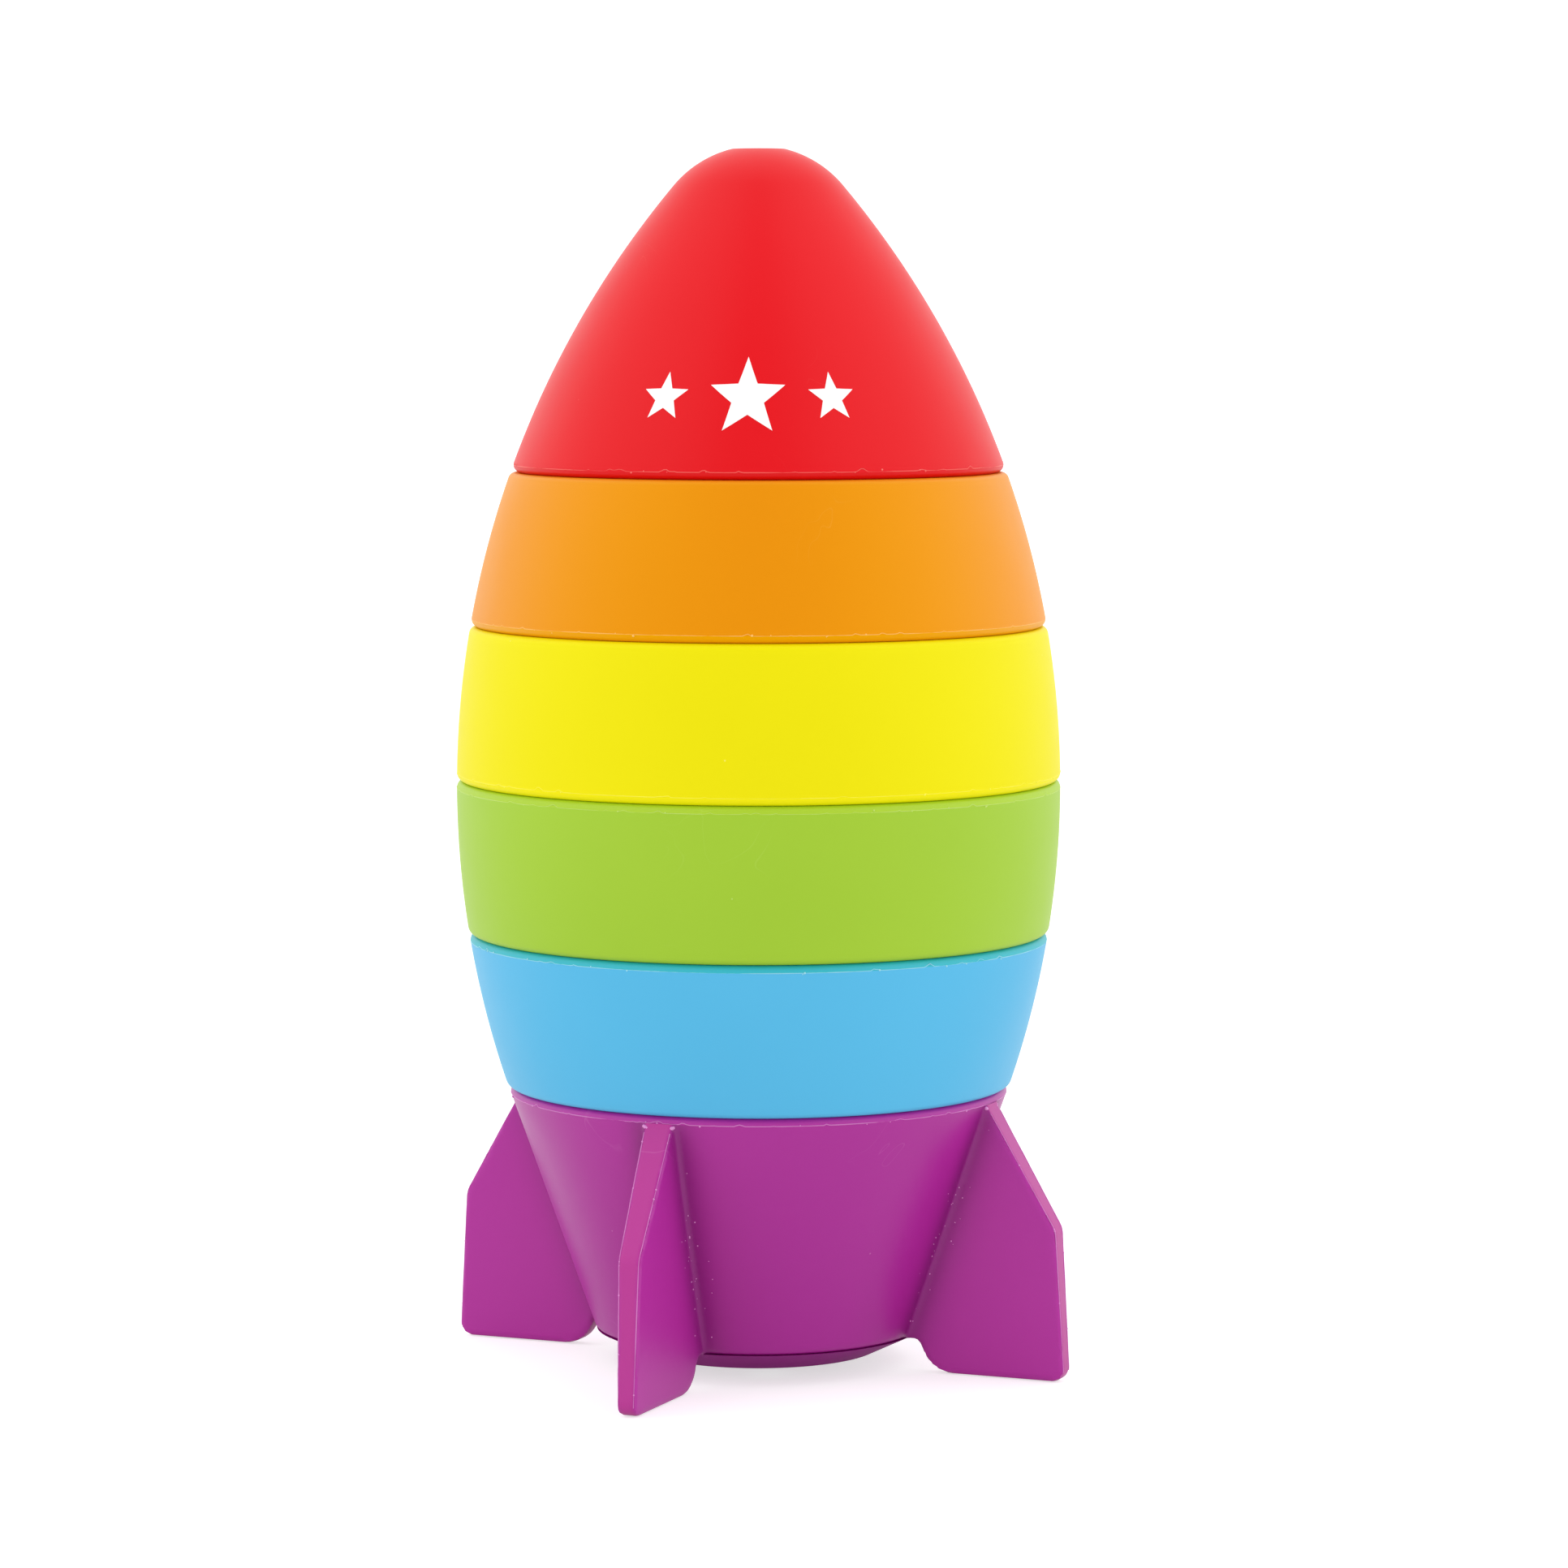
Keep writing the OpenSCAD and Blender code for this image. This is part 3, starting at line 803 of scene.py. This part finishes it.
ROOT_BEADS = 26         # beads about each root of a fin
ROOT_BEAD_Z = 22.0      # their heights' middle and spread
ROOT_BEAD_SPREAD = 8.0
ROOT_GAP = 0.4          # how far clear of the root they start, and how far they stray
ROOT_STRAY = 1.3


def rounded_corner(a, p, b, r, steps=6):
    """Arc that rounds corner p between its neighbours a and b."""
    a, p, b = Vector(a), Vector(p), Vector(b)
    u, v = (a - p).normalized(), (b - p).normalized()
    half = math.acos(max(-1, min(1, u.dot(v)))) / 2
    centre = p + (u + v).normalized() * r / math.sin(half)
    start = p + u * r / math.tan(half) - centre
    end = p + v * r / math.tan(half) - centre
    a0, a1 = math.atan2(start.y, start.x), math.atan2(end.y, end.x)
    sweep = (a1 - a0 + math.pi) % (2 * math.pi) - math.pi
    return arc(tuple(centre), r, math.degrees(a0), math.degrees(a0 + sweep), steps)


def fin_outline():
    """The fin from the side, run inwards and upwards into the cone."""
    slope = (CREST[0] - KNEE[0]) / (CREST[1] - KNEE[1])
    above = (CREST[0] + slope * 6, CREST[1] + 6)
    root = (CONE_FOOT_R - 4, CONE_FOOT_Z)
    return ([above] + rounded_corner(CREST, KNEE, TOE, KNEE_ROUND_R)
            + rounded_corner(KNEE, TOE, HEEL, TOE_ROUND_R)
            + rounded_corner(TOE, HEEL, HEEL_TOP, HEEL_ROUND_R)
            + rounded_corner(HEEL, HEEL_TOP, root, HEEL_TOP_ROUND_R)
            + [root, (root[0], above[1])])


def polygon_distance(outline, x, z):
    """Signed distance to a closed outline, negative inside."""
    best, inside = None, False
    for (x0, z0), (x1, z1) in zip(outline, outline[1:] + outline[:1]):
        ex, ez = x1 - x0, z1 - z0
        px, pz = x - x0, z - z0
        t = np.clip((px * ex + pz * ez) / (ex * ex + ez * ez), 0, 1)
        gap = (px - ex * t) ** 2 + (pz - ez * t) ** 2
        best = gap if best is None else np.minimum(best, gap)
        if ez:
            crossed = ((z0 <= z) != (z1 <= z)) & (px < ex * pz / ez)
            inside = inside ^ crossed
    return np.where(inside, -1, 1) * np.sqrt(best)


def rounded_meet(a, b, r):
    """Distance to two solids' common part, with its edge rounded."""
    a, b = a + r, b + r
    return np.hypot(np.maximum(a, 0), np.maximum(b, 0)) + np.minimum(np.maximum(a, b), 0) - r


def blended_join(a, b, reach):
    """Distance to two solids joined, with a fillet where they meet."""
    near = np.maximum(reach - np.abs(a - b), 0) / reach
    return np.minimum(a, b) - near * near * reach / 4


FIN_OUTLINE = fin_outline()
CONE_LEAN = math.atan2(CREST[0] - CONE_FOOT_R, CREST[1] - CONE_FOOT_Z)


def fin_half_thickness(z):
    heights, thicknesses = zip(*FIN_THICKNESS)
    return np.interp(z, heights, thicknesses) / 2


def fin_distance(reach, across, z):
    flat = np.abs(across) - fin_half_thickness(z)
    return rounded_meet(polygon_distance(FIN_OUTLINE, reach, z), flat, FIN_EDGE_R)


def cone_distance(x, y, z):
    side = ((np.hypot(x, y) - CONE_FOOT_R) * math.cos(CONE_LEAN)
            - (z - CONE_FOOT_Z) * math.sin(CONE_LEAN))
    return rounded_meet(side, CONE_FOOT_Z - z, CONE_EDGE_R)


def fins_distance(x, y, z):
    x, y = np.abs(x), np.abs(y)
    return np.minimum(fin_distance(x, y, z), fin_distance(y, x, z))


def base_distance(x, y, z):
    """Signed distance to the base's cone and fins, in millimetres."""
    return blended_join(cone_distance(x, y, z), fins_distance(x, y, z), ROOT_BLEND)


def onto_base(points, rounds=4):
    """Points moved along the distance's slope until they lie on the base's skin."""
    points, step = np.array(points, float), 0.02
    for _ in range(rounds):
        d = base_distance(*points.T)
        slope = np.empty_like(points)
        for axis in range(3):
            shift = np.zeros(3)
            shift[axis] = step
            slope[:, axis] = (base_distance(*(points + shift).T)
                              - base_distance(*(points - shift).T)) / (2 * step)
        size = np.maximum((slope ** 2).sum(1), 0.05)
        points -= slope * (d / size)[:, None]
    return points


def skin_net(distance, low, shape, step):
    """Vertices and quads of an even net over the surface where distance is zero."""
    axes = [low[i] + step[i] * np.arange(shape[i]) for i in range(3)]
    d = distance(axes[0][:, None, None], axes[1][None, :, None], axes[2][None, None, :])
    inside = d < 0
    corners = [(i, j, k) for i in (0, 1) for j in (0, 1) for k in (0, 1)]
    # a cell that the surface cuts holds one vertex, amid the cuts through its edges
    count = sum(inside[i:shape[0] - 1 + i, j:shape[1] - 1 + j, k:shape[2] - 1 + k].astype(np.int8)
                for i, j, k in corners)
    cells = np.argwhere((count > 0) & (count < 8))
    number = np.full(count.shape, -1)
    number[tuple(cells.T)] = np.arange(len(cells))
    total, hits = np.zeros((len(cells), 3)), np.zeros(len(cells))
    for axis in range(3):
        for corner in corners:
            if corner[axis]:
                continue
            other = np.array(corner)
            other[axis] = 1
            d0 = d[tuple((cells + corner).T)]
            d1 = d[tuple((cells + other).T)]
            cut = (d0 < 0) != (d1 < 0)
            t = np.where(cut, d0 / np.where(cut, d0 - d1, 1), 0)
            place = np.array(corner, float)[None, :].repeat(len(cells), 0)
            place[:, axis] = t
            total[cut] += place[cut]
            hits += cut
    verts = np.array(low) + (cells + total / hits[:, None]) * step
    # and each edge that the surface cuts is in the middle of a quad between four cells
    quads = []
    for axis in range(3):
        b, c = (axis + 1) % 3, (axis + 2) % 3
        first = [slice(1, n - 1) for n in shape]
        first[axis] = slice(0, shape[axis] - 1)
        second = list(first)
        second[axis] = slice(1, shape[axis])
        one, two = inside[tuple(first)], inside[tuple(second)]
        offset = np.ones(3, int)
        offset[axis] = 0
        edges = np.argwhere(one != two) + offset
        outward = one[one != two]
        around = []
        for db, dc in ((0, 0), (1, 0), (1, 1), (0, 1)):
            cell = edges.copy()
            cell[:, b] -= db
            cell[:, c] -= dc
            around.append(number[tuple(cell.T)])
        quad = np.stack(around, 1)
        quad[~outward] = quad[~outward][:, ::-1]
        quads.append(quad)
    return verts, np.concatenate(quads)


def base_moulding():
    """The base's cone and fins in one skin, cut flat at the rim and hollowed from there."""
    reach = TOE[0] + NET_ASIDE
    low = (-reach, -reach, -NET_BELOW)
    nodes = int(2 * reach / GRID_STEP[0]) + 1
    shape = (nodes, nodes, int((CREST[1] + NET_ABOVE) / GRID_STEP[2]) + 3)
    verts, quads = skin_net(base_distance, low, shape, GRID_STEP)
    verts = onto_base(verts)
    mesh = bpy.data.meshes.new("base_moulding")
    mesh.from_pydata((verts * MM).tolist(), [], quads.tolist())
    bm = bmesh.new()
    bm.from_mesh(mesh)
    bmesh.ops.bisect_plane(bm, geom=bm.verts[:] + bm.edges[:] + bm.faces[:], dist=1e-7,
                           plane_co=(0, 0, CREST[1] * MM), plane_no=(0, 0, 1), clear_outer=True)
    rim = [e for e in bm.edges if len(e.link_faces) == 1]
    floor = CONE_FOOT_Z + FLOOR_T
    mouth_r = inner_radius(CREST[1])
    hollow = [(CONE_FOOT_R - WALL, floor), (mouth_r, CREST[1] - LIP_H), (mouth_r, CREST[1])]
    rings = [[bm.verts.new([c * MM for c in point]) for point in circle(r, z, ROUND_STEPS)[:-1]]
             for r, z in hollow]
    bm.faces.new(rings[0])
    for one, two in zip(rings, rings[1:]):
        for i in range(ROUND_STEPS):
            j = (i + 1) % ROUND_STEPS
            bm.faces.new((one[i], two[i], two[j], one[j]))
    outside = set(rim)
    mouth = [e for e in bm.edges if len(e.link_faces) == 1 and e not in outside]
    bmesh.ops.triangle_fill(bm, use_beauty=True, edges=rim + mouth)
    bm.to_mesh(mesh)
    bm.free()
    finish_mesh(mesh)
    return new_piece("base_moulding", mesh, PURPLE)


def mark_painted_light_and_shade(piece):
    """Marks painted light and shade for the colour: fins lighter away from the cone, lighter outer
    faces of the fins, and painted shade in the valleys at their roots.
    """
    flat = np.empty(3 * len(piece.data.vertices))
    piece.data.vertices.foreach_get("co", flat)
    points = flat.reshape(-1, 3) / MM
    from_cone = np.maximum(cone_distance(*points.T), 0)
    from_fins = np.maximum(fins_distance(*points.T), 0)
    across = np.abs(points[:, :2]).min(1)
    reach = np.abs(points[:, :2]).max(1)
    inside = fin_half_thickness(points[:, 2]) - FACE_INSET - across
    within = np.clip(inside / FACE_FADE, 0, 1)
    at_edge = np.abs(polygon_distance(FIN_OUTLINE, reach, points[:, 2])) < FACE_REACH
    face = within * at_edge
    # painted shade: the valleys where the fins meet the cone are darkened, but not on the outer
    # faces
    mark(piece, "root_painted_shade", np.exp(-((from_cone + from_fins) / VALLEY_REACH) ** 2) * (1 - face))
    # painted light: the fins grow lighter away from the cone, as if better lit there
    mark(piece, "fin_painted_light", np.clip(from_cone / FIN_LIGHT_REACH, 0, 1))
    # painted sheen: the fins' outer faces are tinted lighter, as their reflection would make them
    # look
    mark(piece, "face", face)


def turn_point(point, quarter):
    """A point turned by quarters of a turn about the axis."""
    x, y, z = point
    for _ in range(quarter):
        x, y = -y, x
    return x, y, z


def fin_edge(side):
    """Points along one edge of the +X fin's outer face."""
    outer = ([CREST] + rounded_corner(CREST, KNEE, TOE, KNEE_ROUND_R)
             + rounded_corner(KNEE, TOE, HEEL, TOE_ROUND_R)[:3])
    edge = []
    for (r0, z0), (r1, z1) in zip(outer, outer[1:]):
        steps = max(1, int(math.dist((r0, z0), (r1, z1)) / FLASH_STEP))
        edge += [(r0 + (r1 - r0) * i / steps, z0 + (z1 - z0) * i / steps)
                 for i in range(steps)]
    inset = FIN_EDGE_R * 0.6
    points = [(r, side * (float(fin_half_thickness(z)) - inset), z)
              for r, z in edge if z < CREST[1] - FLASH_DROP]
    return onto_base(points).tolist()


def root_spots(side, chance):
    """Spots scattered about one root of the +X fin, most of them at half its height."""
    spots = []
    for _ in range(ROOT_BEADS):
        z = chance.gauss(ROOT_BEAD_Z, ROOT_BEAD_SPREAD)
        z = min(max(z, CONE_FOOT_Z + 3), CREST[1] - 2)
        across = float(fin_half_thickness(z)) + ROOT_GAP
        reach = CONE_FOOT_R + (z - CONE_FOOT_Z) * math.tan(CONE_LEAN)
        stray = abs(chance.gauss(0, ROOT_STRAY))
        # along the fin or along the cone, by even chance
        out, aside = (stray, 0.0) if chance.random() < 0.5 else (0.0, stray)
        spots.append((math.sqrt(reach ** 2 - across ** 2) + ROOT_GAP + out,
                      side * (across + aside), z))
    return onto_base(spots).tolist()


def fin_flash(piece):
    """Flash along both edges of every fin's outer face, and beads about its roots."""
    chance = random.Random(77)
    top = CREST[1] - 0.5
    for quarter in range(4):
        for side in (-1, 1):
            seed = 40 + 2 * quarter + side
            edge = [turn_point(p, quarter) for p in fin_edge(side)]
            add_ridge(piece, edge, seed, radius=0.1, curl=0.0)
            add_beads(piece, chance.sample(edge, 7), seed, radius=0.17)
            roots = [turn_point(p, quarter) for p in root_spots(side, chance)]
            add_beads(piece, roots, seed + 20, radius=0.14)
            # heavier beads where the edge meets the rim
            half = float(fin_half_thickness(top))
            corner = [(CREST[0] + 0.1, side * (half - 0.3 * i), top - 0.15 * i) for i in range(4)]
            add_beads(piece, [turn_point(p, quarter) for p in corner], seed + 60, radius=0.4)


base = base_moulding()
mark_painted_light_and_shade(base)
add_parting_line(base, CREST[1], 34, beads=34)
fin_flash(base)
stand_for(base, "base", "purple_plastic", "fin_base")

deck = turned("base_deck_plate", plate_outline(RIM_Z, 1, POST_R + FIT_GAP, HUB_R), PURPLE)
mark(deck, "plate", 1.0)
stand_for(deck, "base", "purple_plastic", "base_deck")
post = turned("base_post", post_outline(), PURPLE)
stand_for(post, "base", "purple_plastic", "post")

for node, material in (("base_cap", SHADED_CAP_PURPLE), ("base_screws", brushed_steel())):
    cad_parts[node].data.materials.clear()
    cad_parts[node].data.materials.append(material)


# ---------------------------------- studio

FLOOR_HALF = 6.0        # half the floor's width, in metres
FLOOR_Z = -0.0002       # just clear of the fins' feet, in metres
FLOOR_SHADE = 0.60
FLOOR_GLOW = 0.10       # lit from below
FLOOR_SEEN = 0.52       # how much more of that the camera sees
FLOOR_SHEEN = 0.30      # and how much more the reflections do


def stage_material():
    material, tree, shader, coordinates = new_material("studio_floor")
    drift = place_group(tree, "drift", coordinates, Scale=3.0)
    low, high = [(FLOOR_SHADE + step,) * 3 + (1,) for step in (-0.01, 0.01)]
    colour = mix_colour(tree, drift.outputs[0], low, high)
    tree.links.new(colour, shader.inputs["Base Color"])
    ray = tree.nodes.new("ShaderNodeLightPath").outputs
    seen = maths(tree, "MULTIPLY_ADD", ray["Is Camera Ray"], FLOOR_SEEN, FLOOR_GLOW)
    seen = maths(tree, "MULTIPLY_ADD", ray["Is Glossy Ray"], FLOOR_SHEEN, seen)
    tree.links.new(seen, shader.inputs["Emission Strength"])
    shader.inputs["Emission Color"].default_value = (1, 1, 1, 1)
    shader.inputs["Roughness"].default_value = 0.9
    shader.inputs["Specular IOR Level"].default_value = 0.1
    return material


def studio_floor():
    corners = [(x * FLOOR_HALF, y * FLOOR_HALF, FLOOR_Z)
               for x, y in ((-1, -1), (1, -1), (1, 1), (-1, 1))]
    mesh = bpy.data.meshes.new("studio_floor")
    mesh.from_pydata(corners, [], [(0, 1, 2, 3)])
    return new_piece("studio_floor", mesh, stage_material())


studio_floor()


# ---------------------------------- camera and light

VIEW_TURN = math.radians(22.5)      # camera's place round the object, from -Y towards +X
CAMERA_RANGE = 0.917
CAMERA_HEIGHT = 0.1797
CAMERA_ASIDE = 0.0042               # the object stands a little left of the picture's middle
CAMERA_TILT = math.radians(5.2)
CAMERA_LENS = 127.4
SENSOR_WIDTH = 36
right = Vector((math.cos(VIEW_TURN), math.sin(VIEW_TURN), 0))
back = Vector((math.sin(VIEW_TURN), -math.cos(VIEW_TURN), 0))    # from the object to the camera

# light of the tent, by direction from the camera's side (0) round to the far side (1)
TENT = ((0.0, 0.34), (0.03, 0.46), (0.09, 1.0), (0.16, 1.16), (0.45, 1.2), (0.75, 1.2),
        (1.0, 1.2))


def light_tent():
    """White tent round the object, dimmer on the camera's side."""
    world = bpy.data.worlds.new("light_tent")
    world.use_nodes = True
    tree = world.node_tree
    direction = tree.nodes.new("ShaderNodeTexCoord").outputs["Generated"]
    level = maths(tree, "MULTIPLY", direction, (1, 1, 0), kind="ShaderNodeVectorMath")
    level = maths(tree, "NORMALIZE", level, kind="ShaderNodeVectorMath")
    ahead = maths(tree, "DOT_PRODUCT", level, tuple(back), kind="ShaderNodeVectorMath")
    share = add_node(tree, "ShaderNodeMapRange", Value=ahead.node.outputs["Value"],
                     From_Min=1.0, From_Max=-1.0)
    ramp = add_node(tree, "ShaderNodeValToRGB", Fac=share.outputs[0])
    elements = ramp.color_ramp.elements
    elements.remove(elements[1])
    for i, (place, level) in enumerate(TENT):
        element = elements[0] if i == 0 else elements.new(place)
        element.color = (level, level, level, 1)
    background = tree.nodes["Background"]
    tree.links.new(ramp.outputs[0], background.inputs["Color"])
    background.inputs["Strength"].default_value = 1.0
    return world


bpy.context.scene.world = light_tent()

OVERHEAD_ANGLE = math.radians(110)
AIM_Z = 0.1             # height that the lights point at
# each panel's place towards the camera, to its right and up, in metres, and its power in watts
PANELS = (("front_panel", (1.3, 0.0, 0.25), 4.0),
          ("left_panel", (0.0, -1.3, 0.2), 2.2),
          ("right_panel", (0.0, 1.3, 0.2), 2.5))


def add_light(name, kind, place, power):
    """A soft light aimed at the stack. It leaves no reflection of its own."""
    light = bpy.data.lights.new(name, kind)
    light.energy = power
    lamp = bpy.data.objects.new(name, light)
    lamp.location = place
    aim = Vector((0, 0, AIM_Z)) - place
    lamp.rotation_euler = aim.to_track_quat("-Z", "Y").to_euler()
    lamp.visible_camera = False
    lamp.visible_glossy = False
    bpy.context.scene.collection.objects.link(lamp)
    return light


overhead = add_light("overhead_light", "SUN", Vector((0, 0, 1.5)), 0.4)
overhead.angle = OVERHEAD_ANGLE
for name, (near, aside, up), power in PANELS:
    place = back * near + right * aside + Vector((0, 0, up))
    add_light(name, "AREA", place, power).size = 1.0

camera_data = bpy.data.cameras.new("camera")
camera_data.sensor_width = SENSOR_WIDTH
camera_data.lens = CAMERA_LENS
camera = bpy.data.objects.new("camera", camera_data)
camera.location = back * CAMERA_RANGE + right * CAMERA_ASIDE + Vector((0, 0, CAMERA_HEIGHT))
look = -back * math.cos(CAMERA_TILT) - Vector((0, 0, math.sin(CAMERA_TILT)))
camera.rotation_euler = look.to_track_quat("-Z", "Y").to_euler()
bpy.context.scene.collection.objects.link(camera)
bpy.context.scene.camera = camera
bpy.context.scene.view_settings.view_transform = "Standard"
